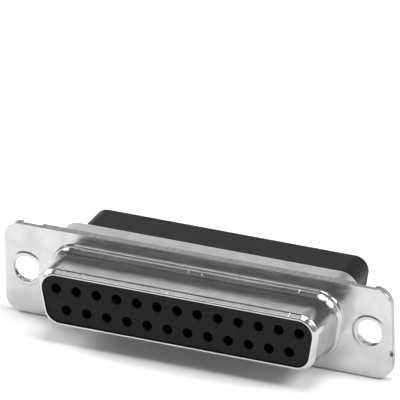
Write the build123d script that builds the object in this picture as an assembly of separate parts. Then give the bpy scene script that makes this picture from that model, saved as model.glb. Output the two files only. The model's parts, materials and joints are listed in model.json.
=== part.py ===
"""25-way D-sub socket connector: two drawn steel shells, a moulded insulator and 25 crimp socket contacts.

Frame, in millimetres: the origin is the middle of the flange's front face.
+X runs along the flange, to the right as the mating face is looked at.
+Y runs back towards the wires, so the mating face looks along -Y.
+Z is up, towards the long row of 13 sockets.
"""
import os
from math import cos, radians, sin, sqrt, tan

from build123d import *

os.makedirs("parts", exist_ok=True)

# Rows of contacts, which set the size of the whole connector
contact_pitch = 2.77
row_spacing = 2.84
long_row = 13
short_row = 12

# Mating barrel, the D that the other connector slides over
side_lean = 10.0
barrel_margin = 2.53            # from the outermost contacts' middles out to the barrel's face
barrel_corner = 2.6
barrel_length = 6.4
rim_round = 0.65
step_out = 0.75                 # small step around the barrel's foot
step_up = 0.35
step_face = 0.2
foot_sweep = 1.6                # radius of the hollow that runs from the step up to the barrel

# Rear D, which holds the insulator
rear_end_margin = 1.35          # how much wider than the barrel, at each end
rear_side_margin = 1.75         # how much higher, at each side
rear_corner = 2.6
rear_length = 3.35              # behind the flange
rear_round = 0.6
rear_bend = 0.35

# Flange
sheet = 0.5                     # thickness of each shell's steel
hole_margin = 3.02              # from the rear D's end to the middle of a hole
hole_edge = 3.0                 # from there to the flange's end
flange_margin = 0.55            # flange that shows above and below the rear D
flange_corner = 2.2
hole_diameter = 3.4
eyelet_wall = 0.35              # steel drawn out of the rear flange, through the front one
eyelet_lip = 0.32               # how far the eyelet is flared over the front flange
eyelet_proud = 0.1
eyelet_mouth = 0.25             # slope at the rear end of its bore
relief_inset = 0.72             # the rear flange's cut-outs, from a hole's middle in to each cut-out's middle
relief_width = 2.75
relief_depth = 0.9
nick_width = 0.75               # where the flange was broken off its strip
nick_depth = 0.3
nick_below = 2.45

# Insulator
block_end_margin = 1.7          # how much narrower than the rear D, at each end
block_side_margin = 1.2
block_corner = 1.8
block_length = 10.95            # from the flange's front face to the wire end
face_recess = 0.2               # the mating face, behind the barrel's rim
fit_gap = 0.05

# Contacts and their cavities
entry_diameter = 1.32           # mouth that guides a pin into the socket
entry_length = 2.0
pin_bore = 1.04                 # through the whole contact, which is rolled from strip
contact_wall = 0.36
crimp_recess = 1.4              # the contact's wire end, inside the insulator's
cavity_gap = 0.05

# Widths and heights that follow
barrel_width = (long_row - 1) * contact_pitch + 2 * barrel_margin
barrel_height = row_spacing + 2 * barrel_margin
rear_width = barrel_width + 2 * rear_end_margin
rear_height = barrel_height + 2 * rear_side_margin
block_width = rear_width - 2 * block_end_margin
block_height = rear_height - 2 * block_side_margin
hole_spacing = rear_width + 2 * hole_margin
flange_width = hole_spacing + 2 * hole_edge
flange_height = rear_height + 2 * flange_margin

# Levels along Y
shell_joint = sheet
flange_back = 2 * sheet
rim_front = -barrel_length
insulator_face = rim_front + face_recess
rear_end = flange_back + rear_length
lip_front = rear_end - sheet
contact_front = insulator_face + entry_length
contact_back = block_length - crimp_recess

# Radii of a contact and its cavity
contact_radius = pin_bore / 2 + contact_wall
cavity_radius = contact_radius + cavity_gap


def facing_front(y):
    """Drawing plane at a level y, seen from the mating side: right is +X and up is +Z."""
    return Plane(origin=(0, y, 0), x_dir=(1, 0, 0), z_dir=(0, -1, 0))


def solid_between(outline, front, back):
    """An outline drawn from the mating side, made solid from one level to another."""
    return extrude(facing_front(back) * outline, back - front)


def half_dee(width, height, corner):
    """Right half of a D, from the middle of its top to the middle of its bottom; width is the widest across."""
    lean = radians(side_lean)
    top = width / 2 + corner * ((1 + sin(lean)) / cos(lean) - 1)
    foot = top - height * tan(lean)
    points = [(0, height / 2), (top, height / 2), (foot, -height / 2), (0, -height / 2)]
    return FilletPolyline(*points, radius=corner)


def dee(width, height, corner, grow=0.0):
    """A whole D as a flat face, grown outwards by the same amount all round."""
    half = half_dee(width, height, corner)
    face = make_face(half.edges() + mirror(half, about=Plane.YZ).edges())
    if grow:
        face = offset(face, amount=grow)
    return face


def barrel_dee(grow=0.0):
    """The mating barrel's outline."""
    return dee(barrel_width, barrel_height, barrel_corner, grow)


def rear_dee(grow=0.0):
    """The rear shell's outline."""
    return dee(rear_width, rear_height, rear_corner, grow)


def block_dee(grow=0.0):
    """The outline of the insulator's block, where the wires go in."""
    return dee(block_width, block_height, block_corner, grow)


def swept_wall(section, width, height, corner):
    """A shell's wall: one section carried round a D. The section is drawn above the middle of the D's top."""
    half = half_dee(width, height, corner)
    start = facing_front(0)
    path = Wire((start * half).edges() + (start * mirror(half, about=Plane.YZ)).edges())
    return sweep(Plane.YZ * Pos(0, height / 2) * section, path=path)


def hole_places():
    """Middles of the flange's two holes."""
    return [(-hole_spacing / 2, 0), (hole_spacing / 2, 0)]


def flange_plate(front, opening, hole_radius):
    """One sheet of the flange, with its D opening and its two holes."""
    outline = RectangleRounded(flange_width, flange_height, flange_corner) - opening
    for x, z in hole_places():
        outline -= Pos(x, z) * Circle(hole_radius)
    return solid_between(outline, front, front + sheet)


def arc_between(start, end, centre, radius):
    """The short arc from one point to another round a centre."""
    middle = Vector((start[0] + end[0]) / 2 - centre[0], (start[1] + end[1]) / 2 - centre[1])
    through = Vector(*centre) + middle.normalized() * radius
    return ThreePointArc(start, (through.X, through.Y), end)


def barrel_section():
    """Cut through the barrel's wall: its level along Y is x, and its distance out from the barrel's face is y."""
    sweep_out = step_out - step_face
    sweep_end = -step_up - sqrt(foot_sweep ** 2 - (foot_sweep - sweep_out) ** 2)
    rim_centre = rim_front + rim_round
    hollow_end = sheet / 2 - step_up
    hollow_foot = foot_sweep - sqrt((foot_sweep + sheet) ** 2 - (hollow_end - sweep_end) ** 2)
    flange_edge = step_out + sheet / 2
    step = Polyline(
        (shell_joint, flange_edge), (0, flange_edge), (0, step_out), (-step_up, step_out), (-step_up, sweep_out)
    )
    foot = arc_between((-step_up, sweep_out), (sweep_end, 0), (sweep_end, foot_sweep), foot_sweep)
    barrel = Line((sweep_end, 0), (rim_centre, 0))
    rim = arc_between((rim_centre, 0), (rim_front, -rim_round), (rim_centre, -rim_round), rim_round)
    inside = Polyline(
        (rim_front, -rim_round), (rim_front + sheet, -rim_round), (rim_centre, -sheet), (sweep_end, -sheet),
        (hollow_end, hollow_foot), (shell_joint, step_out - sheet / 2), (shell_joint, flange_edge),
    )
    return make_face(step.edges() + [foot, barrel, rim] + inside.edges())


def front_shell():
    """Front flange and the D barrel drawn out of it, with its rim rolled in over the insulator's edge."""
    flange = flange_plate(0, barrel_dee(step_out + sheet / 4), hole_diameter / 2 + eyelet_wall + fit_gap)
    wall = swept_wall(barrel_section(), barrel_width, barrel_height, barrel_corner)
    nick = Pos(flange_width / 2, shell_joint / 2, -nick_below) * Box(2 * nick_depth, 2 * sheet, nick_width)
    return flange + wall - nick


def rear_section():
    """Cut through the rear shell's wall: bent back off the flange, then in over the insulator."""
    bend_end = flange_back + rear_bend
    round_start = rear_end - rear_round
    flange_edge = (rear_bend + flange_margin) / 2
    lip_edge = -rear_round - sheet / 4
    inside = Polyline(
        (round_start, 0), (bend_end, 0), (flange_back, rear_bend), (flange_back, flange_edge),
        (shell_joint, flange_edge), (shell_joint, rear_bend), (bend_end, -sheet), (lip_front, -sheet),
        (lip_front, lip_edge), (rear_end, lip_edge), (rear_end, -rear_round),
    )
    corner = arc_between((rear_end, -rear_round), (round_start, 0), (round_start, -rear_round), rear_round)
    return make_face(inside.edges() + [corner])


def eyelet():
    """Tube drawn out of the rear flange and flared over the front flange, which ties the two shells together."""
    bore = hole_diameter / 2
    tube = bore + eyelet_wall
    lip = tube + eyelet_lip
    profile = Polyline(
        (bore, flange_back - eyelet_mouth), (bore, 0), (bore + eyelet_proud, -eyelet_proud),
        (lip - eyelet_proud, -eyelet_proud), (lip, 0), (tube, 0), (tube, flange_back),
        (bore + eyelet_mouth, flange_back), (bore, flange_back - eyelet_mouth),
    )
    return revolve(make_face(profile), Axis.Y)


def rear_shell():
    """Rear flange, the deep D behind it and the lip that keeps the insulator in."""
    shell = flange_plate(shell_joint, rear_dee(rear_bend), hole_diameter / 2 + eyelet_mouth)
    relief_centre = hole_spacing / 2 - relief_inset
    for side in (-1, 1):
        for edge in (-1, 1):
            relief = Pos(side * relief_centre, shell_joint, edge * flange_height / 2)
            shell -= relief * Box(relief_width, 4 * sheet, 2 * relief_depth)
    shell += swept_wall(rear_section(), rear_width, rear_height, rear_corner)
    shell += solid_between(rear_dee(-rear_round) - block_dee(fit_gap), lip_front, rear_end)
    for x, z in hole_places():
        shell += Pos(x, 0, z) * eyelet()
    return shell


def contact_places():
    """Middles of the sockets in the order of their numbers: each row from right to left, the long row first."""
    places = []
    for count, height in ((long_row, row_spacing / 2), (short_row, -row_spacing / 2)):
        for index in range(count):
            places.append((((count - 1) / 2 - index) * contact_pitch, height))
    return places


def round_between(radius, front, back):
    """A round bar on the Y axis, from one level to another."""
    return solid_between(Circle(radius), front, back)


def insulator():
    """Mating face, boss inside the barrel, flange trapped between the shells, and block that takes the wires."""
    ledge = rim_front + sheet + fit_gap
    face = solid_between(barrel_dee(-rim_round - fit_gap), insulator_face, shell_joint)
    boss = solid_between(barrel_dee(-sheet - fit_gap), ledge + rim_round - sheet, shell_joint)
    flange = solid_between(rear_dee(-sheet - fit_gap), shell_joint, lip_front)
    block = solid_between(block_dee(), lip_front, block_length)
    cavity = round_between(entry_diameter / 2, insulator_face, contact_front)
    cavity += round_between(cavity_radius, contact_front, block_length)
    body = face + boss + flange + block
    return body - [Pos(x, 0, z) * cavity for x, z in contact_places()]


def contact():
    """Crimp socket contact on the Y axis: a tube rolled from strip, for the pin in front and the wire behind."""
    return round_between(contact_radius, contact_front, contact_back) - round_between(
        pin_bore / 2, contact_front, contact_back
    )


def placed(body, place):
    """A copy of a body moved to one contact's place."""
    x, z = place
    return Pos(x, 0, z) * body


def write(name, body):
    """One file for one piece."""
    export_step(body, f"parts/{name}.step")


write("front_shell", front_shell())
write("rear_shell", rear_shell())
write("insulator", insulator())
one_contact = contact()
for number, place in enumerate(contact_places(), start=1):
    write(f"contact_{number:02d}", placed(one_contact, place))
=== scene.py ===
"""Dressed scene of a 25-way D-sub socket connector.

Two drawn, tin-plated steel shells hold a black moulded insulator with 25 gold-plated crimp sockets.
Every piece is drawn in millimetres on a workbench and brought to metres when it is finished.
+X runs along the flange, +Y runs back towards the wires and +Z is up, towards the row of 13 sockets.
"""

import json
import logging
import math
from dataclasses import dataclass, field
from enum import Enum
from typing import Callable, Sequence

import bmesh
import bpy
from mathutils import Matrix, Vector

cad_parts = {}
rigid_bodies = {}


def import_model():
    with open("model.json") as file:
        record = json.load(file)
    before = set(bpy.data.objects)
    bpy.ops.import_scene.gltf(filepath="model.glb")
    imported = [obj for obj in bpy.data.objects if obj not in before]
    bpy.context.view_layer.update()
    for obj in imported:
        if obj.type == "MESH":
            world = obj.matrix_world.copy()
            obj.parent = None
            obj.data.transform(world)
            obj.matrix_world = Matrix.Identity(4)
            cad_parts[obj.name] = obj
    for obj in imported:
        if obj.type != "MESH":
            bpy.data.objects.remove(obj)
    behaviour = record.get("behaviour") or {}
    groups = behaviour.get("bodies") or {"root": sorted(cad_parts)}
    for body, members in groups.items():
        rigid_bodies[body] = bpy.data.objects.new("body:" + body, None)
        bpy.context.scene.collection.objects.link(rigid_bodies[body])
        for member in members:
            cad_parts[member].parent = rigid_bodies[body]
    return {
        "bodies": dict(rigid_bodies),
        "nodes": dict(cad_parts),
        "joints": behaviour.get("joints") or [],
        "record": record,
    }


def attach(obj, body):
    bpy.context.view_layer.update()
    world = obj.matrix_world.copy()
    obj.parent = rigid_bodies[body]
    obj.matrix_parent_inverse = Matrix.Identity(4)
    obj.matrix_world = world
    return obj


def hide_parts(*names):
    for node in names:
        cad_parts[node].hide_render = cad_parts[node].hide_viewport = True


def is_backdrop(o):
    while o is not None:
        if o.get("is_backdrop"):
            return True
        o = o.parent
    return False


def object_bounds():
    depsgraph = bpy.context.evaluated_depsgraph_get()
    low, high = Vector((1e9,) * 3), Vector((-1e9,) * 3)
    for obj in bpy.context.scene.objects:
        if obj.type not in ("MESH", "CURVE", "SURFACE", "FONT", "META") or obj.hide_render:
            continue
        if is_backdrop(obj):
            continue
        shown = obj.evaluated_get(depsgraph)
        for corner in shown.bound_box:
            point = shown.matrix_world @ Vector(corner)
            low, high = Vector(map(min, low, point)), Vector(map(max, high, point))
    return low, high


log = logging.getLogger("d_sub_connector")

MM = 0.001

# Millimetres on the workbench
SEED_SIZE = 0.1
WELD_GAP = 0.002
SAME_LEVEL = 1e-3
NO_LENGTH = 1e-6

# Angles in radians, and the share of a normal along Y below which a face is on an edge
NO_BEND = 1e-4
SMOOTH_BELOW = math.radians(34.0)
EDGE_ON = 0.35

# How much large flats weigh in the shading, the faces of a cut's rounded edge, and the second finish's place
FLAT_WEIGHT = 80
CUT_STEPS = 4
ASIDE = 1


class Side(Enum):
    """The insulator's two numbered faces."""

    MATING = "mating_face"
    WIRE = "wire_face"


@dataclass(frozen=True)
class Corner:
    """One corner of a section: its level along Y, its distance out, and the radius it is rounded to."""

    y: float
    out: float
    radius: float = 0.0
    steps: int = 5


@dataclass(frozen=True)
class Move:
    """One stretch of a path: a straight run, or a turn to the right as seen from the mating side."""

    run: float = 0.0
    turn: float = 0.0
    radius: float = 0.0
    steps: int = 1


@dataclass(frozen=True)
class Dee:
    """A D outline with rounded corners; the width is the widest across, and the sides lean in downwards."""

    width: float
    height: float
    corner: float
    lean: float = math.radians(10.0)
    top_steps: int = 14
    foot_steps: int = 12

    def half_path(self) -> list[Move]:
        """The right half, from the middle of the top to the middle of the bottom.

        Returns:
            The moves in order, the first of them towards +X.
        """
        top_cut = self.corner / math.tan((math.pi / 2 - self.lean) / 2)
        foot_cut = self.corner / math.tan((math.pi / 2 + self.lean) / 2)
        top = self.width / 2 + top_cut - self.corner
        foot = top - self.height * math.tan(self.lean)
        side = self.height / math.cos(self.lean)
        return [
            Move(run=top - top_cut),
            Move(turn=math.pi / 2 + self.lean, radius=self.corner, steps=self.top_steps),
            Move(run=side - top_cut - foot_cut),
            Move(turn=math.pi / 2 - self.lean, radius=self.corner, steps=self.foot_steps),
            Move(run=foot - foot_cut),
        ]


@dataclass(frozen=True)
class Oblong:
    """A rectangle with rounded corners."""

    width: float
    height: float
    corner: float
    turn_steps: int = 12

    def half_path(self) -> list[Move]:
        """The right half, from the middle of the top to the middle of the bottom.

        Returns:
            The moves in order, the first of them towards +X.
        """
        quarter = Move(turn=math.pi / 2, radius=self.corner, steps=self.turn_steps)
        along = Move(run=self.width / 2 - self.corner)
        return [along, quarter, Move(run=self.height - 2 * self.corner), quarter, along]


@dataclass(frozen=True)
class ShellSizes:
    """Sizes that the two shells share, in millimetres."""

    sheet: float = 0.5
    flange: Oblong = Oblong(53.04, 12.5, 2.2)
    hole_x: float = 23.52
    hole_radius: float = 1.7
    eyelet_wall: float = 0.35
    eyelet_lip: float = 0.32
    eyelet_proud: float = 0.1
    gap: float = 0.05
    side_band: float = 1.0
    end_band: float = 2.0
    hole_band: float = 0.6

    def on_cut_edge(self, middle: Vector, normal: Vector, front: float) -> bool:
        """Whether a face is on the sheared edge of a flange.

        Args:
            middle: The face's middle.
            normal: Its normal.
            front: The level of the sheet's front face.

        Returns:
            True on the edge and in its cut-outs, and not round the holes.
        """
        in_sheet = front < middle.y < front + self.sheet and abs(normal.y) < EDGE_ON
        at_side = abs(middle.z) > self.flange.height / 2 - self.side_band
        at_end = abs(middle.x) > self.flange.width / 2 - self.end_band
        from_hole = math.hypot(abs(middle.x) - self.hole_x, middle.z)
        return in_sheet and (at_side or at_end) and from_hole >= self.hole_radius + self.hole_band


@dataclass(frozen=True)
class ContactRows:
    """Places of the 25 contacts, in millimetres."""

    pitch: float = 2.77
    row_spacing: float = 2.84
    long_row: int = 13
    short_row: int = 12

    def places(self) -> list[tuple[float, float]]:
        """Middles of the contacts in the order of their numbers, each row from right to left.

        Returns:
            Pairs of x and z.
        """
        found = []
        for count, height in ((self.long_row, self.row_spacing / 2), (self.short_row, -self.row_spacing / 2)):
            found += [(((count - 1) / 2 - index) * self.pitch, height) for index in range(count)]
        return found


class Workbench:
    """One piece while it is modelled in edit mode, in millimetres."""

    def __init__(self, name: str) -> None:
        """Starts a piece from a small plane that is taken away again.

        Args:
            name: The piece's name.
        """
        bpy.ops.object.select_all(action="DESELECT")
        bpy.ops.mesh.primitive_plane_add(size=SEED_SIZE)
        self.obj = bpy.context.object
        self.obj.name = self.obj.data.name = name
        bpy.ops.object.mode_set(mode="EDIT")
        bpy.ops.mesh.delete(type="VERT")

    def _start(self, at: Vector) -> None:
        """Puts one new, selected vertex on the bench.

        Args:
            at: Its place.
        """
        bpy.ops.mesh.select_all(action="DESELECT")
        bpy.ops.mesh.primitive_plane_add(size=SEED_SIZE, location=at)
        bpy.ops.mesh.merge(type="CENTER")

    def section(self, corners: Sequence[Corner], x: float = 0.0, base: float = 0.0) -> None:
        """Draws a section in a plane across X, with its corners rounded, and selects it.

        Args:
            corners: The section's corners in order.
            x: Where the plane is.
            base: The height that distances out are counted from.
        """
        points = [Vector((x, c.y, base + c.out)) for c in corners]
        self._start(points[0])
        pen = points[0]
        for before, here, after, corner in zip(points, points[1:], points[2:], corners[1:]):
            come, leave = (here - before).normalized(), (after - here).normalized()
            bend = come.angle(leave)
            if corner.radius > 0 and bend > NO_BEND:
                cut = corner.radius * math.tan(bend / 2)
                pen = self._line(pen, here - come * cut)
                turn_axis = come.cross(leave).normalized()
                centre = pen + turn_axis.cross(come) * corner.radius
                bpy.ops.mesh.spin(steps=corner.steps, angle=-bend, center=centre, axis=turn_axis)
                pen = here + leave * cut
            else:
                pen = self._line(pen, here)
        self._line(pen, points[-1])
        bpy.ops.mesh.select_linked()

    def _line(self, pen: Vector, to: Vector) -> Vector:
        """Draws one straight edge from the pen's place.

        Args:
            pen: Where the last vertex is.
            to: Where the edge ends.

        Returns:
            The pen's new place.
        """
        if (to - pen).length > NO_LENGTH:
            bpy.ops.mesh.extrude_region_move(TRANSFORM_OT_translate={"value": to - pen})
        return to

    def carry(self, moves: Sequence[Move], height: float) -> None:
        """Carries the selected section along a path that starts towards +X at the top middle.

        Args:
            moves: The path.
            height: The path's height at its start.
        """
        place, heading = Vector((0.0, 0.0, height)), Vector((1.0, 0.0, 0.0))
        for move in moves:
            if move.turn:
                inward = Vector((0.0, 1.0, 0.0)).cross(heading)
                centre = place + inward * move.radius
                bpy.ops.mesh.spin(steps=move.steps, angle=-move.turn, center=centre, axis=(0, 1, 0))
                turned = Matrix.Rotation(move.turn, 3, "Y")
                place = centre + turned @ (place - centre)
                heading = turned @ heading
            elif move.run > NO_LENGTH:
                bpy.ops.mesh.extrude_region_move(TRANSFORM_OT_translate={"value": heading * move.run})
                place = place + heading * move.run

    def ring(self, corners: Sequence[Corner], x: float, z: float, steps: int = 48) -> None:
        """Draws a section beside an axis along Y and spins it once round that axis.

        Args:
            corners: The section, with its distances counted from the axis.
            x: Where the axis is.
            z: Where the axis is.
            steps: How many faces go round.
        """
        self.section(corners, x=x, base=z)
        bpy.ops.mesh.spin(
            steps=steps, angle=2 * math.pi, center=(x, 0, z), axis=(0, 1, 0), use_auto_merge=True
        )
        bpy.ops.mesh.select_linked()

    def copy_to(self, offset: tuple[float, float, float]) -> None:
        """Copies what is selected by an offset, and leaves the copy selected."""
        bpy.ops.mesh.duplicate_move(TRANSFORM_OT_translate={"value": offset})

    def mirror(self) -> None:
        """Makes the left half from the right half and joins the two."""
        bpy.ops.object.mode_set(mode="OBJECT")
        modifier = self.obj.modifiers.new("left_half", "MIRROR")
        modifier.use_axis = (True, False, False)
        modifier.merge_threshold = WELD_GAP
        bpy.ops.object.modifier_apply(modifier=modifier.name)
        bpy.ops.object.mode_set(mode="EDIT")

    def weld(self) -> None:
        """Joins vertices that lie on each other."""
        bpy.ops.mesh.select_all(action="SELECT")
        bpy.ops.mesh.remove_doubles(threshold=WELD_GAP)
        bpy.ops.mesh.select_all(action="DESELECT")

    def fill_level(self, y: float) -> None:
        """Closes the flat between all the open edges at one level.

        Args:
            y: The level along Y.
        """
        bpy.ops.mesh.select_all(action="DESELECT")
        mesh = bmesh.from_edit_mesh(self.obj.data)
        for edge in mesh.edges:
            if len(edge.link_faces) == 1 and all(abs(v.co.y - y) < SAME_LEVEL for v in edge.verts):
                edge.select_set(True)
        bmesh.update_edit_mesh(self.obj.data)
        bpy.ops.mesh.fill(use_beauty=True)
        bpy.ops.mesh.select_all(action="DESELECT")

    def mark(self, faces: Callable[[Vector, Vector], bool]) -> None:
        """Sets some faces aside for the piece's second finish.

        Args:
            faces: Whether a face with this middle and this normal gets it.
        """
        bpy.ops.object.mode_set(mode="OBJECT")
        data = self.obj.data
        while len(data.materials) <= ASIDE:
            data.materials.append(None)
        for polygon in data.polygons:
            if faces(polygon.center, polygon.normal):
                polygon.material_index = ASIDE
        bpy.ops.object.mode_set(mode="EDIT")

    def outward(self) -> None:
        """Turns every face outwards."""
        bpy.ops.mesh.select_all(action="SELECT")
        bpy.ops.mesh.normals_make_consistent(inside=False)

    def cut_block(self, centre: tuple[float, float, float], size: tuple[float, float, float],
                  round_by: float) -> None:
        """Takes a block with rounded upright edges out of the piece.

        Args:
            centre: The block's middle.
            size: Its size along X, Y and Z.
            round_by: The radius of its four edges along Y.
        """
        bpy.ops.object.mode_set(mode="OBJECT")
        bpy.ops.object.select_all(action="DESELECT")
        bpy.ops.mesh.primitive_cube_add(size=1.0, location=centre, scale=size)
        block = bpy.context.object
        bpy.ops.object.mode_set(mode="EDIT")
        bpy.ops.mesh.select_mode(type="EDGE")
        bpy.ops.mesh.select_all(action="DESELECT")
        mesh = bmesh.from_edit_mesh(block.data)
        for edge in mesh.edges:
            a, b = (block.matrix_world @ v.co for v in edge.verts)
            edge.select_set(abs(a.y - b.y) > SAME_LEVEL)
        bmesh.update_edit_mesh(block.data)
        bpy.ops.mesh.bevel(offset=round_by, segments=CUT_STEPS, affect="EDGES")
        bpy.ops.mesh.select_mode(type="VERT")
        bpy.ops.object.mode_set(mode="OBJECT")
        bpy.ops.object.transform_apply(location=True, rotation=True, scale=True)
        bpy.context.view_layer.objects.active = self.obj
        cut = self.obj.modifiers.new("cut_block", "BOOLEAN")
        cut.operation, cut.solver, cut.object = "DIFFERENCE", "EXACT", block
        bpy.ops.object.modifier_apply(modifier=cut.name)
        bpy.data.objects.remove(block)
        self.obj.select_set(True)
        bpy.ops.object.mode_set(mode="EDIT")

    def finish(self) -> bpy.types.Object:
        """Leaves edit mode, shades the piece and brings it to metres with its place in its mesh.

        Returns:
            The finished object.
        """
        bpy.ops.object.mode_set(mode="OBJECT")
        bpy.ops.object.select_all(action="DESELECT")
        self.obj.select_set(True)
        bpy.context.view_layer.objects.active = self.obj
        bpy.ops.object.shade_smooth_by_angle(angle=SMOOTH_BELOW)
        flats = self.obj.modifiers.new("flats_stay_flat", "WEIGHTED_NORMAL")
        flats.keep_sharp = True
        flats.weight = FLAT_WEIGHT
        bpy.ops.object.modifier_apply(modifier=flats.name)
        self.obj.scale = (MM, MM, MM)
        bpy.ops.object.transform_apply(location=True, rotation=True, scale=True)
        return self.obj


class Sheet:
    """A material's node sheet, with short calls for the nodes that the finishes use."""

    def __init__(self, name: str) -> None:
        """Starts a material with its shader.

        Args:
            name: The material's name.
        """
        self.material = bpy.data.materials.new(name)
        self.material.use_nodes = True
        self.nodes = self.material.node_tree.nodes
        self.links = self.material.node_tree.links
        self.shader = self.nodes["Principled BSDF"]
        self.place = self.nodes.new("ShaderNodeTexCoord").outputs["Object"]

    def noise(self, scale: float, stretch: tuple[float, float, float] = (1, 1, 1), detail: float = 4.0,
              rough: float = 0.55, turn: tuple[float, float, float] = (0, 0, 0)) -> bpy.types.NodeSocket:
        """Noise on the piece's own coordinates.

        Args:
            scale: Waves per metre.
            stretch: How much finer it is along each axis.
            detail: How many finer layers it has.
            rough: How strong those are.
            turn: Turn of the pattern in radians.

        Returns:
            The noise's value, about 0.5 in the middle.
        """
        mapping = self.nodes.new("ShaderNodeMapping")
        mapping.inputs["Scale"].default_value = stretch
        mapping.inputs["Rotation"].default_value = turn
        texture = self.nodes.new("ShaderNodeTexNoise")
        texture.inputs["Scale"].default_value = scale
        texture.inputs["Detail"].default_value = detail
        texture.inputs["Roughness"].default_value = rough
        self.links.new(self.place, mapping.inputs["Vector"])
        self.links.new(mapping.outputs["Vector"], texture.inputs["Vector"])
        return texture.outputs["Fac"]

    def ramp(self, value: bpy.types.NodeSocket, stops: Sequence[tuple[float, tuple[float, float, float]]]
             ) -> bpy.types.NodeSocket:
        """Colours by a value.

        Args:
            value: What the colours follow.
            stops: Pairs of value and colour.

        Returns:
            The colour.
        """
        node = self.nodes.new("ShaderNodeValToRGB")
        elements = node.color_ramp.elements
        while len(elements) < len(stops):
            elements.new(0.5)
        for element, (at, colour) in zip(elements, stops):
            element.position = at
            element.color = (*colour, 1.0)
        self.links.new(value, node.inputs["Fac"])
        return node.outputs["Color"]

    def spread(self, value: bpy.types.NodeSocket, low: float, high: float, start: float = 0.35,
               end: float = 0.65) -> bpy.types.NodeSocket:
        """Maps a value to a range.

        Args:
            value: What is mapped.
            low: What it becomes at the start.
            high: What it becomes at the end.
            start: The value's start.
            end: The value's end.

        Returns:
            The mapped value.
        """
        node = self.nodes.new("ShaderNodeMapRange")
        for name, number in (("From Min", start), ("From Max", end), ("To Min", low), ("To Max", high)):
            node.inputs[name].default_value = number
        self.links.new(value, node.inputs["Value"])
        return node.outputs["Result"]

    def bump(self, value: bpy.types.NodeSocket, height: float, strength: float = 1.0,
             under: bpy.types.NodeSocket | None = None) -> bpy.types.NodeSocket:
        """Relief from a value.

        Args:
            value: The height map.
            height: The relief's height in metres.
            strength: How much of it shows.
            under: The normal it lies on.

        Returns:
            The new normal.
        """
        node = self.nodes.new("ShaderNodeBump")
        node.inputs["Distance"].default_value = height
        node.inputs["Strength"].default_value = strength
        self.links.new(value, node.inputs["Height"])
        if under is not None:
            self.links.new(under, node.inputs["Normal"])
        return node.outputs["Normal"]

    def feed(self, name: str, value: bpy.types.NodeSocket) -> None:
        """Links a value to one of the shader's sockets."""
        self.links.new(value, self.shader.inputs[name])

    def fix(self, **values: float) -> None:
        """Sets constants on the shader's own sockets, with spaces in a name written as underscores."""
        for name, value in values.items():
            self.shader.inputs[name.replace("_", " ")].default_value = value


@dataclass(frozen=True)
class TinPlate:
    """Bright tin over drawn steel: a grey mirror with rolling lines, draw marks, grain and fine scratches.

    Waves are per metre, and a relief is its height in metres and how much of it shows.
    """

    light: tuple[float, float, float] = (0.604, 0.610, 0.602)
    dark: tuple[float, float, float] = (0.517, 0.523, 0.511)
    smooth: float = 0.15
    rough: float = 0.25
    mottle_waves: float = 420.0
    rolling_waves: float = 700.0
    scratch_waves: float = 220.0
    draw_waves: float = 200.0
    grain_waves: float = 3600.0
    mottle_relief: tuple[float, float] = (0.000010, 0.25)
    rolling_relief: tuple[float, float] = (0.000003, 0.25)
    scratch_relief: tuple[float, float] = (0.000003, 0.25)
    draw_relief: tuple[float, float] = (0.000025, 0.6)
    grain_relief: tuple[float, float] = (0.000005, 0.5)
    scratch_slant: float = 0.35
    scratch_onset: tuple[float, float] = (0.66, 0.72)
    draw_onset: tuple[float, float] = (0.68, 0.75)

    def material(self) -> bpy.types.Material:
        """Makes the finish.

        Returns:
            Its material.
        """
        sheet = Sheet("tinned_steel")
        mottle = sheet.noise(self.mottle_waves, detail=5.0)
        rolling = sheet.noise(self.rolling_waves, stretch=(0.25, 2.0, 2.0), detail=6.0, rough=0.6)
        scratch = sheet.noise(self.scratch_waves, stretch=(1.5, 1.0, 40.0), detail=2.0,
                              turn=(0.0, self.scratch_slant, 0.0))
        drawn = sheet.noise(self.draw_waves, stretch=(16.0, 0.8, 0.8), detail=3.0)
        grain = sheet.noise(self.grain_waves, detail=2.0)
        sheet.feed("Base Color", sheet.ramp(mottle, [(0.3, self.dark), (0.62, self.light)]))
        sheet.feed("Roughness", sheet.spread(rolling, self.smooth, self.rough))
        sheet.fix(Metallic=1.0)
        draw_marks = sheet.spread(drawn, 0.0, 1.0, *self.draw_onset)
        scratches = sheet.spread(scratch, 0.0, 1.0, *self.scratch_onset)
        soft = sheet.bump(mottle, *self.mottle_relief)
        rolled = sheet.bump(rolling, *self.rolling_relief, soft)
        grainy = sheet.bump(grain, *self.grain_relief, rolled)
        marked = sheet.bump(draw_marks, *self.draw_relief, grainy)
        sheet.feed("Normal", sheet.bump(scratches, *self.scratch_relief, marked))
        return sheet.material


@dataclass(frozen=True)
class CutEdge:
    """The sheared edge of the tinned sheet: duller steel torn in fine lines, its colour darkened further as
    painted shade for the dark reflections of its sides.
    """

    # light and dark are partly painted shade: darker than the dull steel alone, where the edge would mirror
    # the bright floor
    light: tuple[float, float, float] = (0.49, 0.49, 0.48)
    dark: tuple[float, float, float] = (0.29, 0.29, 0.285)
    smooth: float = 0.30
    rough: float = 0.46
    tear_waves: float = 1400.0
    tear_relief: tuple[float, float] = (0.00001, 0.5)

    def material(self) -> bpy.types.Material:
        """Makes the finish.

        Returns:
            Its material.
        """
        sheet = Sheet("sheared_edge_and_shade")
        tear = sheet.noise(self.tear_waves, stretch=(3.0, 0.25, 3.0))
        sheet.feed("Base Color", sheet.ramp(tear, [(0.35, self.dark), (0.65, self.light)]))
        sheet.feed("Roughness", sheet.spread(tear, self.smooth, self.rough))
        sheet.fix(Metallic=1.0)
        sheet.feed("Normal", sheet.bump(tear, *self.tear_relief))
        return sheet.material


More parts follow.
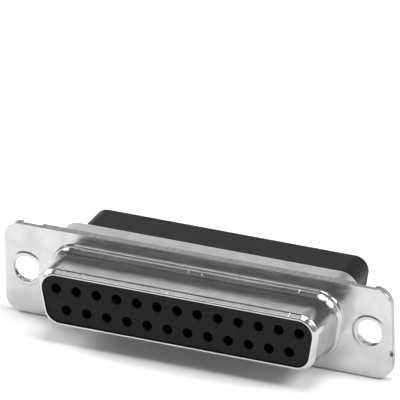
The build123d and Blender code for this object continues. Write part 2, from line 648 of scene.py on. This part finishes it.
@dataclass(frozen=True)
class BlackMoulding:
    """Black glass-filled polyester, moulded: nearly matt, with a fine grain and slow clouds of gloss."""

    deep: tuple[float, float, float] = (0.0044, 0.0049, 0.0049)
    pale: tuple[float, float, float] = (0.0096, 0.0104, 0.0104)
    smooth: float = 0.42
    rough: float = 0.56
    sheen: float = 0.16
    cloud_waves: float = 260.0
    grain_waves: float = 5200.0
    grain_relief: tuple[float, float] = (0.00001, 0.35)

    def material(self) -> bpy.types.Material:
        """Makes the finish.

        Returns:
            Its material.
        """
        sheet = Sheet("black_insulator")
        clouds = sheet.noise(self.cloud_waves, detail=5.0)
        grain = sheet.noise(self.grain_waves, detail=3.0)
        sheet.feed("Base Color", sheet.ramp(clouds, [(0.3, self.deep), (0.7, self.pale)]))
        sheet.feed("Roughness", sheet.spread(clouds, self.smooth, self.rough))
        sheet.fix(Metallic=0.0, IOR=1.5, Specular_IOR_Level=self.sheen)
        sheet.feed("Normal", sheet.bump(grain, *self.grain_relief))
        return sheet.material


@dataclass(frozen=True)
class GoldPlate:
    """Thin gold over nickel, on contacts rolled from strip."""

    colour: tuple[float, float, float] = (0.86, 0.60, 0.24)
    worn: tuple[float, float, float] = (0.78, 0.62, 0.36)
    smooth: float = 0.18
    rough: float = 0.32
    rolling_waves: float = 900.0
    rolling_relief: tuple[float, float] = (0.000003, 0.3)

    def material(self) -> bpy.types.Material:
        """Makes the finish.

        Returns:
            Its material.
        """
        sheet = Sheet("gold_contact")
        rolling = sheet.noise(self.rolling_waves, stretch=(3.0, 0.3, 3.0))
        sheet.feed("Base Color", sheet.ramp(rolling, [(0.35, self.worn), (0.6, self.colour)]))
        sheet.feed("Roughness", sheet.spread(rolling, self.smooth, self.rough))
        sheet.fix(Metallic=1.0)
        sheet.feed("Normal", sheet.bump(rolling, *self.rolling_relief))
        return sheet.material


@dataclass(frozen=True)
class PalePaper:
    """The floor's matt white paper."""

    colour: tuple[float, float, float] = (0.95, 0.95, 0.955)
    roughness: float = 0.9

    def material(self) -> bpy.types.Material:
        """Makes the finish.

        Returns:
            Its material.
        """
        sheet = Sheet("pale_paper")
        sheet.shader.inputs["Base Color"].default_value = (*self.colour, 1.0)
        sheet.fix(Roughness=self.roughness)
        return sheet.material


def dress(obj: bpy.types.Object, finishes: Sequence[bpy.types.Material], slot: str, *nodes: str) -> None:
    """Gives a finished piece its finishes, its body and the solids that it stands for.

    Args:
        obj: The piece.
        finishes: Its finish, and the one for the faces set aside where there are any.
        slot: The record's material slot; not used.
        nodes: The solids it replaces.
    """
    while len(obj.data.materials) < len(finishes):
        obj.data.materials.append(None)
    for index, finish in enumerate(finishes):
        obj.data.materials[index] = finish
    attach(obj, "root")
    if nodes:
        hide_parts(*nodes)
    faces = len(obj.data.polygons)
    low, high = (Vector(f(c[i] for c in obj.bound_box) for i in range(3)) / MM for f in (min, max))
    log.info("%s: %d faces, %s to %s mm", obj.name, faces, tuple(low), tuple(high))


@dataclass
class FrontShell:
    """The front shell: a flange and the D barrel drawn out of it, with a stepped foot and a rim rolled in."""

    sizes: ShellSizes = field(default_factory=ShellSizes)
    barrel: Dee = Dee(38.3, 7.9, 2.6)
    length: float = 6.4
    flange_lap: float = 0.25
    step_out: float = 0.75
    step_up: float = 0.35
    step_face: float = 0.32
    step_crease: float = 0.06
    step_round: float = 0.28
    foot_sweep: float = 2.2
    foot_easing: float = 0.08
    rim_lead: float = 0.62
    rim_drop: float = 0.425
    rim_round: float = 0.65
    shoulder_round: float = 0.5
    nose_round: float = 0.26
    lip_round: float = 0.05
    crease: float = 0.03
    lining_end: float = -1.55
    lining_foot: tuple[float, float] = (-0.1, 0.09)
    back_lap: float = 0.1
    edge_round: float = 0.12
    edge_back_round: float = 0.05
    edge_land: float = 0.3
    nick_depth: float = 0.3
    nick_width: float = 0.75
    nick_z: float = -2.45
    nick_round: float = 0.1
    nick_reach: float = 2.0

    def wall(self) -> list[Corner]:
        """The wall's section: out of the flange, over the step, up the foot, along to the rim and inside.

        Returns:
            Its corners in order.
        """
        sheet, rim, step = self.sizes.sheet, -self.length, -self.step_up
        sweep_start = self.step_out - self.step_face
        slope = math.acos(1 - sweep_start / self.foot_sweep)
        sweep_corner = step - sweep_start / math.tan(slope)
        return [
            Corner(0.0, self.step_out + self.flange_lap),
            Corner(0.0, self.step_out, self.step_crease, 3),
            Corner(step, self.step_out, self.step_round, 9),
            Corner(step, sweep_start, self.crease, 3),
            Corner(sweep_corner, 0.0, self.foot_sweep - self.foot_easing, 14),
            Corner(rim + self.rim_lead, 0.0, self.shoulder_round, 8),
            Corner(rim, -self.rim_drop, self.nose_round, 8),
            Corner(rim, -self.rim_round, self.crease, 3),
            Corner(rim + sheet, -self.rim_round, self.lip_round, 3),
            Corner(rim + self.rim_round, -sheet),
            Corner(self.lining_end, -sheet),
            Corner(*self.lining_foot),
            Corner(sheet, self.step_out - sheet / 2),
            Corner(sheet, self.step_out + self.back_lap),
        ]

    def edge(self) -> list[Corner]:
        """The flange's cut edge, rounder at the front, where the punch went in.

        Returns:
            Its corners in order.
        """
        sheet = self.sizes.sheet
        return [
            Corner(0.0, -self.edge_land), Corner(0.0, 0.0, self.edge_round, 4),
            Corner(sheet, 0.0, self.edge_back_round, 3), Corner(sheet, -self.edge_land),
        ]

    def hole(self) -> list[Corner]:
        """The section of a hole's wall, which an eyelet goes through.

        Returns:
            Its corners in order.
        """
        sizes = self.sizes
        bore = sizes.hole_radius + sizes.eyelet_wall + sizes.gap
        land = bore + self.back_lap
        return [Corner(0.0, land), Corner(0.0, bore), Corner(sizes.sheet, bore), Corner(sizes.sheet, land)]

    def build(self, finish: bpy.types.Material, cut_edge_and_shade: bpy.types.Material) -> None:
        """Models the shell and dresses it.

        Args:
            finish: The finish of its faces.
            cut_edge_and_shade: The finish of its flange's cut edge, its colour darkened partly as painted
                shade.
        """
        sizes = self.sizes
        bench = Workbench("front_shell_drawn")
        bench.section(self.wall(), base=self.barrel.height / 2)
        bench.carry(self.barrel.half_path(), self.barrel.height / 2)
        bench.section(self.edge(), base=sizes.flange.height / 2)
        bench.carry(sizes.flange.half_path(), sizes.flange.height / 2)
        bench.ring(self.hole(), sizes.hole_x, 0.0)
        bench.mirror()
        bench.weld()
        bench.fill_level(0.0)
        bench.fill_level(sizes.sheet)
        bench.outward()
        nick_centre = (sizes.flange.width / 2, sizes.sheet / 2, self.nick_z)
        nick_size = (2 * self.nick_depth, self.nick_reach, self.nick_width)
        bench.cut_block(nick_centre, nick_size, self.nick_round)
        # The cut edge's faces get the second finish, whose darker colour is partly painted shade
        bench.mark(lambda middle, normal: sizes.on_cut_edge(middle, normal, 0.0))
        dress(bench.finish(), (finish, cut_edge_and_shade), "tinned_steel", "front_shell")


@dataclass
class RearShell:
    """The rear shell: a flange with cut-outs, the deep D, its turned-in lip and the two eyelets."""

    sizes: ShellSizes = field(default_factory=ShellSizes)
    dee: Dee = Dee(41.0, 11.4, 2.6)
    opening: Dee = Dee(37.7, 9.1, 1.85)
    length: float = 3.35
    bend: float = 0.35
    bend_lap: float = 0.04
    back_round: float = 0.6
    lip_lap: float = 0.12
    lip_round: float = 0.08
    lip_inner_round: float = 0.04
    edge_land: float = 0.1
    edge_front_round: float = 0.04
    edge_round: float = 0.08
    mouth_land: float = 0.62
    mouth_round: float = 0.55
    flare_round: float = 0.16
    curl: tuple[float, float] = (0.25, 0.5)
    curl_end: float = 0.05
    tube_lap: float = 0.2
    relief_x: float = 22.8
    relief_width: float = 2.75
    relief_depth: float = 0.9
    relief_round: float = 0.3
    relief_reach: float = 1.5

    def wall(self) -> list[Corner]:
        """The wall's section: off the flange's back, round the bend, along the D and in behind.

        Returns:
            Its corners in order.
        """
        sheet = self.sizes.sheet
        back, end = 2 * sheet, 2 * sheet + self.length
        return [
            Corner(back, self.bend + self.bend_lap), Corner(back, 0.0, self.bend, 6),
            Corner(end, 0.0, self.back_round, 9), Corner(end, -self.back_round - self.lip_lap),
        ]

    def lining(self) -> list[Corner]:
        """The section of the wall's inside.

        Returns:
            Its corners in order.
        """
        sheet = self.sizes.sheet
        inner_end = sheet + self.length
        return [
            Corner(sheet, self.bend + self.bend_lap), Corner(sheet, self.bend),
            Corner(2 * sheet + self.bend, -sheet), Corner(inner_end, -sheet),
            Corner(inner_end, -self.back_round - self.lip_lap),
        ]

    def lip(self) -> list[Corner]:
        """The section of the lip's edge, round the insulator's block.

        Returns:
            Its corners in order.
        """
        sheet = self.sizes.sheet
        end = 2 * sheet + self.length
        return [
            Corner(end, self.lip_lap), Corner(end, 0.0, self.lip_round, 3),
            Corner(end - sheet, 0.0, self.lip_inner_round, 2), Corner(end - sheet, self.lip_lap),
        ]

    def edge(self) -> list[Corner]:
        """The flange's cut edge.

        Returns:
            Its corners in order.
        """
        sheet = self.sizes.sheet
        return [
            Corner(sheet, -self.edge_land), Corner(sheet, 0.0, self.edge_front_round, 3),
            Corner(2 * sheet, 0.0, self.edge_round, 4), Corner(2 * sheet, -self.edge_land),
        ]

    def eyelet(self) -> list[Corner]:
        """An eyelet's section: down the bore, out over the front flange and back to the rear sheet.

        Returns:
            Its corners in order.
        """
        sizes = self.sizes
        bore, tube = sizes.hole_radius, sizes.hole_radius + sizes.eyelet_wall
        lip = tube + sizes.eyelet_lip
        curl_in, curl_round = self.curl
        return [
            Corner(2 * sizes.sheet, bore + self.mouth_land),
            Corner(2 * sizes.sheet, bore, self.mouth_round, 8),
            Corner(-sizes.eyelet_proud, bore, self.flare_round, 6),
            Corner(-sizes.eyelet_proud, lip - curl_in, curl_round, 5),
            Corner(0.0, lip + self.curl_end),
            Corner(0.0, tube),
            Corner(sizes.sheet, tube),
            Corner(sizes.sheet, tube + self.tube_lap),
        ]

    def build(self, finish: bpy.types.Material, cut_edge_and_shade: bpy.types.Material) -> None:
        """Models the shell and dresses it.

        Args:
            finish: The finish of its faces.
            cut_edge_and_shade: The finish of its flange's cut edge, its colour darkened partly as painted
                shade.
        """
        sizes = self.sizes
        end = 2 * sizes.sheet + self.length
        bench = Workbench("rear_shell_drawn")
        for section in (self.wall(), self.lining()):
            bench.section(section, base=self.dee.height / 2)
            bench.carry(self.dee.half_path(), self.dee.height / 2)
        bench.section(self.lip(), base=self.opening.height / 2)
        bench.carry(self.opening.half_path(), self.opening.height / 2)
        bench.section(self.edge(), base=sizes.flange.height / 2)
        bench.carry(sizes.flange.half_path(), sizes.flange.height / 2)
        bench.ring(self.eyelet(), sizes.hole_x, 0.0)
        bench.mirror()
        bench.weld()
        for level in (sizes.sheet, 2 * sizes.sheet, end - sizes.sheet, end):
            bench.fill_level(level)
        bench.outward()
        relief = (self.relief_width, self.relief_reach, 2 * self.relief_depth)
        for side in (-1, 1):
            for up in (-1, 1):
                centre = (side * self.relief_x, 1.5 * sizes.sheet, up * sizes.flange.height / 2)
                bench.cut_block(centre, relief, self.relief_round)
        # The cut edge's faces get the second finish, whose darker colour is partly painted shade
        bench.mark(lambda middle, normal: sizes.on_cut_edge(middle, normal, sizes.sheet))
        dress(bench.finish(), (finish, cut_edge_and_shade), "tinned_steel", "rear_shell")


@dataclass
class Insulator:
    """The one-piece insulator, with 25 stepped cavities, and the small contact numbers on its two faces."""

    rows: ContactRows = field(default_factory=ContactRows)
    face_dee: Dee = Dee(36.9, 6.5, 1.9)
    flange_dee: Dee = Dee(39.9, 10.3, 2.05)
    block_dee: Dee = Dee(37.6, 9.0, 1.8)
    face_y: float = -6.2
    flange_front: float = 0.5
    flange_back: float = 3.85
    back_y: float = 10.95
    entry_radius: float = 0.66
    entry_length: float = 2.0
    cavity_radius: float = 0.93
    cavity_sides: int = 32
    hole_land: float = 0.16
    mouth_round: float = 0.09
    cavity_round: float = 0.08
    face_land: float = 0.2
    face_round: float = 0.08
    back_land: float = 0.35
    back_round: float = 0.18
    number_height: float = 0.62
    mating_drop: float = 1.12
    wire_drop: float = 1.47
    number_proud: float = 0.03
    number_round: float = 0.01
    number_spacing: float = 0.92
    capital_share: float = 0.7

    def cavity(self) -> list[Corner]:
        """A cavity's section: the rounded mouth that guides a pin, the step and the bore for the contact.

        Returns:
            Its corners in order.
        """
        step = self.face_y + self.entry_length
        return [
            Corner(self.face_y, self.entry_radius + self.hole_land),
            Corner(self.face_y, self.entry_radius, self.mouth_round, 4),
            Corner(step, self.entry_radius),
            Corner(step, self.cavity_radius),
            Corner(self.back_y, self.cavity_radius, self.cavity_round, 3),
            Corner(self.back_y, self.cavity_radius + self.hole_land),
        ]

    def build(self, finish: bpy.types.Material) -> None:
        """Models the insulator and its numbers and dresses them.

        Args:
            finish: The finish of all three pieces.
        """
        bench = Workbench("insulator_moulded")
        parts = (
            (self.face_dee, [Corner(self.face_y, -self.face_land),
                             Corner(self.face_y, 0.0, self.face_round, 3),
                             Corner(self.flange_front, 0.0)]),
            (self.flange_dee, [Corner(self.flange_front, 0.0), Corner(self.flange_back, 0.0)]),
            (self.block_dee, [Corner(self.flange_back, 0.0),
                              Corner(self.back_y, 0.0, self.back_round, 5),
                              Corner(self.back_y, -self.back_land)]),
        )
        for dee, section in parts:
            bench.section(section, base=dee.height / 2)
            bench.carry(dee.half_path(), dee.height / 2)
        bench.mirror()
        bench.weld()
        places = self.rows.places()
        bench.ring(self.cavity(), *places[0], steps=self.cavity_sides)
        for (x0, z0), (x1, z1) in zip(places, places[1:]):
            bench.copy_to((x1 - x0, 0.0, z1 - z0))
        for level in (self.face_y, self.flange_front, self.flange_back, self.back_y):
            bench.fill_level(level)
        bench.outward()
        dress(bench.finish(), (finish,), "black_insulator", "insulator")
        for side in Side:
            dress(self.numbers(side), (finish,), "black_insulator")

    def number(self, number: int, place: tuple[float, float], side: Side) -> bpy.types.Object:
        """Raises one contact's number below its hole.

        Args:
            number: The number.
            place: The middle of the hole, as x and z.
            side: The face that it stands on.

        Returns:
            The number, still in millimetres.
        """
        if side is Side.MATING:
            y, turn, drop = self.face_y, 0.0, self.mating_drop
        else:
            y, turn, drop = self.back_y, math.pi, self.wire_drop
        bpy.ops.object.select_all(action="DESELECT")
        bpy.ops.object.text_add(location=(place[0], y, place[1] - drop), rotation=(math.pi / 2, 0.0, turn))
        text = bpy.context.object.data
        text.body = str(number)
        text.size = self.number_height / self.capital_share
        text.space_character = self.number_spacing
        text.align_x, text.align_y = "CENTER", "CENTER"
        text.extrude = self.number_proud
        text.bevel_depth = self.number_round
        text.resolution_u = 3
        bpy.ops.object.convert(target="MESH")
        return bpy.context.object

    def numbers(self, side: Side) -> bpy.types.Object:
        """Raises the contact numbers of one face.

        Args:
            side: The face.

        Returns:
            All its numbers as one piece.
        """
        made = [self.number(index, place, side) for index, place in enumerate(self.rows.places(), start=1)]
        bpy.ops.object.select_all(action="DESELECT")
        for obj in made:
            obj.select_set(True)
        bpy.context.view_layer.objects.active = made[0]
        bpy.ops.object.join()
        joined = bpy.context.object
        joined.name = joined.data.name = f"{side.value}_numbers"
        joined.data.transform(joined.matrix_world)
        joined.matrix_world = Matrix.Identity(4)
        joined.scale = (MM, MM, MM)
        bpy.ops.object.transform_apply(location=True, rotation=True, scale=True)
        return joined


@dataclass
class Contacts:
    """The 25 crimp sockets, rolled from strip."""

    rows: ContactRows = field(default_factory=ContactRows)

    def build(self, frame: dict, finish: bpy.types.Material) -> None:
        """Gives the contacts' solids their finish.

        Args:
            finish: The gold plating.
        """
        count = len(self.rows.places())
        for number in range(1, count + 1):
            obj = frame["nodes"][f"contact_{number:02d}"]
            obj.data.materials.clear()
            obj.data.materials.append(finish)
        log.info("contacts: %d dressed", count)


@dataclass(frozen=True)
class Softbox:
    """A round softbox: its place and its width in metres, and its power in watts."""

    name: str
    place: tuple[float, float, float]
    width: float
    power: float

    def hang(self) -> None:
        """Hangs it, turned to the object."""
        bpy.ops.object.light_add(type="AREA", location=self.place)
        lamp = bpy.context.object
        lamp.name = self.name
        lamp.data.shape = "DISK"
        lamp.data.size = self.width
        lamp.data.energy = self.power
        lamp.rotation_euler = (-Vector(self.place)).to_track_quat("-Z", "Y").to_euler()


@dataclass(frozen=True)
class Room:
    """The room's light: a bright backdrop that ends above, a dim front and a dim ceiling."""

    front: float = 0.22
    back: float = 0.92
    ceiling: float = 0.12
    front_to_back: tuple[float, float] = (-0.4, 0.5)
    wall_to_ceiling: tuple[float, float] = (0.45, 0.68)
    colour: tuple[float, float, float] = (0.97, 0.985, 1.0)

    def change(self, along: bpy.types.NodeSocket, span: tuple[float, float], low: float,
               high: float) -> bpy.types.NodeSocket:
        """A smooth change of the light along one axis.

        Args:
            along: The axis.
            span: Where the change starts and ends.
            low: The value before it.
            high: The value after it.

        Returns:
            The changing value.
        """
        tree = along.id_data
        node = tree.nodes.new("ShaderNodeMapRange")
        node.interpolation_type = "SMOOTHSTEP"
        for name, value in zip(("From Min", "From Max", "To Min", "To Max"), (*span, low, high)):
            node.inputs[name].default_value = value
        tree.links.new(along, node.inputs["Value"])
        return node.outputs["Result"]

    def light(self) -> None:
        """Lights the scene's world."""
        world = bpy.data.worlds.new("room")
        bpy.context.scene.world = world
        world.use_nodes = True
        nodes, links = world.node_tree.nodes, world.node_tree.links
        split = nodes.new("ShaderNodeSeparateXYZ")
        links.new(nodes.new("ShaderNodeTexCoord").outputs["Generated"], split.inputs["Vector"])
        height = self.change(split.outputs["Z"], self.wall_to_ceiling, 0.0, 1.0)
        walls = self.change(split.outputs["Y"], self.front_to_back, self.front, self.back)
        mix = nodes.new("ShaderNodeMix")
        mix.inputs["B"].default_value = self.ceiling
        links.new(height, mix.inputs["Factor"])
        links.new(walls, mix.inputs["A"])
        background = nodes["Background"]
        background.inputs["Color"].default_value = (*self.colour, 1)
        links.new(mix.outputs["Result"], background.inputs["Strength"])


@dataclass
class StudioSet:
    """Floor, lights and camera; the camera's angles are in degrees and its lengths in millimetres."""

    softboxes: tuple[Softbox, ...] = (
        Softbox("top_box", (-0.37, -0.28, 0.90), 0.26, 0.40),
        Softbox("crown_box", (0.11, 0.02, 0.99), 0.52, 4.8),
        Softbox("right_box", (0.74, 0.04, 0.66), 0.45, 6.6),
        Softbox("left_box", (-0.85, 0.20, 0.46), 0.46, 7.0),
    )
    floor_z: float = -6.35
    floor_size: float = 12000.0
    azimuth: float = 24.368
    elevation: float = 26.5315
    roll: float = -1.0
    aim: tuple[float, float, float] = (0.62, 0.0, 14.1766)
    distance: float = 1665.09
    lens: float = 1200.0
    sensor: float = 36.0
    nearest: float = 50.0
    farthest: float = 20000.0

    def floor(self) -> None:
        """Lays the pale floor."""
        bpy.ops.object.select_all(action="DESELECT")
        bpy.ops.mesh.primitive_plane_add(size=self.floor_size * MM, location=(0, 0, self.floor_z * MM))
        floor = bpy.context.object
        floor.name = "floor"
        bpy.ops.object.mode_set(mode="EDIT")
        bpy.ops.mesh.subdivide(number_cuts=3)
        bpy.ops.object.mode_set(mode="OBJECT")
        floor.data.materials.append(PalePaper().material())
        floor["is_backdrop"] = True

    def lights(self) -> None:
        """Hangs the softboxes and lights the room."""
        for softbox in self.softboxes:
            softbox.hang()
        Room().light()

    def camera(self) -> None:
        """Sets up the long-lens camera."""
        a, e, r = (math.radians(v) for v in (self.azimuth, self.elevation, self.roll))
        back = Vector((math.sin(a) * math.cos(e), -math.cos(a) * math.cos(e), math.sin(e)))
        right = Vector((math.cos(a), math.sin(a), 0.0))
        up = back.cross(right)
        across = right * math.cos(r) + up * math.sin(r)
        upward = up * math.cos(r) - right * math.sin(r)
        bpy.ops.object.camera_add()
        cam = bpy.context.object
        cam.name = "camera"
        place = (Vector(self.aim) + back * self.distance) * MM
        cam.matrix_world = Matrix((
            (across.x, upward.x, back.x, place.x), (across.y, upward.y, back.y, place.y),
            (across.z, upward.z, back.z, place.z), (0, 0, 0, 1),
        ))
        cam.data.lens = self.lens
        cam.data.sensor_width = self.sensor
        cam.data.clip_start, cam.data.clip_end = self.nearest * MM, self.farthest * MM
        cam.data.dof.use_dof = False
        bpy.context.scene.camera = cam

    def build(self) -> None:
        """Sets the whole studio."""
        self.floor()
        self.lights()
        self.camera()
        bpy.context.scene.view_settings.view_transform = "Standard"
        bpy.context.scene.view_settings.look = "None"


def corners(box: tuple[Vector, Vector]) -> list[list[float]]:
    """A box as plain lists of numbers."""
    return [[round(v, 6) for v in corner] for corner in box]


def main() -> None:
    """Builds the connector and its studio in order."""
    logging.basicConfig(level=logging.INFO, format="%(name)s: %(message)s")
    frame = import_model()
    cad_box = corners(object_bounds())
    # The cut edges' finish carries painted shade in its darker colour
    tin, cut_edge_and_shade = TinPlate().material(), CutEdge().material()
    black, gold = BlackMoulding().material(), GoldPlate().material()
    FrontShell().build(tin, cut_edge_and_shade)
    RearShell().build(tin, cut_edge_and_shade)
    Insulator().build(black)
    Contacts().build(frame, gold)
    StudioSet().build()
    {"cad": cad_box, "visual": corners(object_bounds())}


if __name__ == "__main__":
    main()
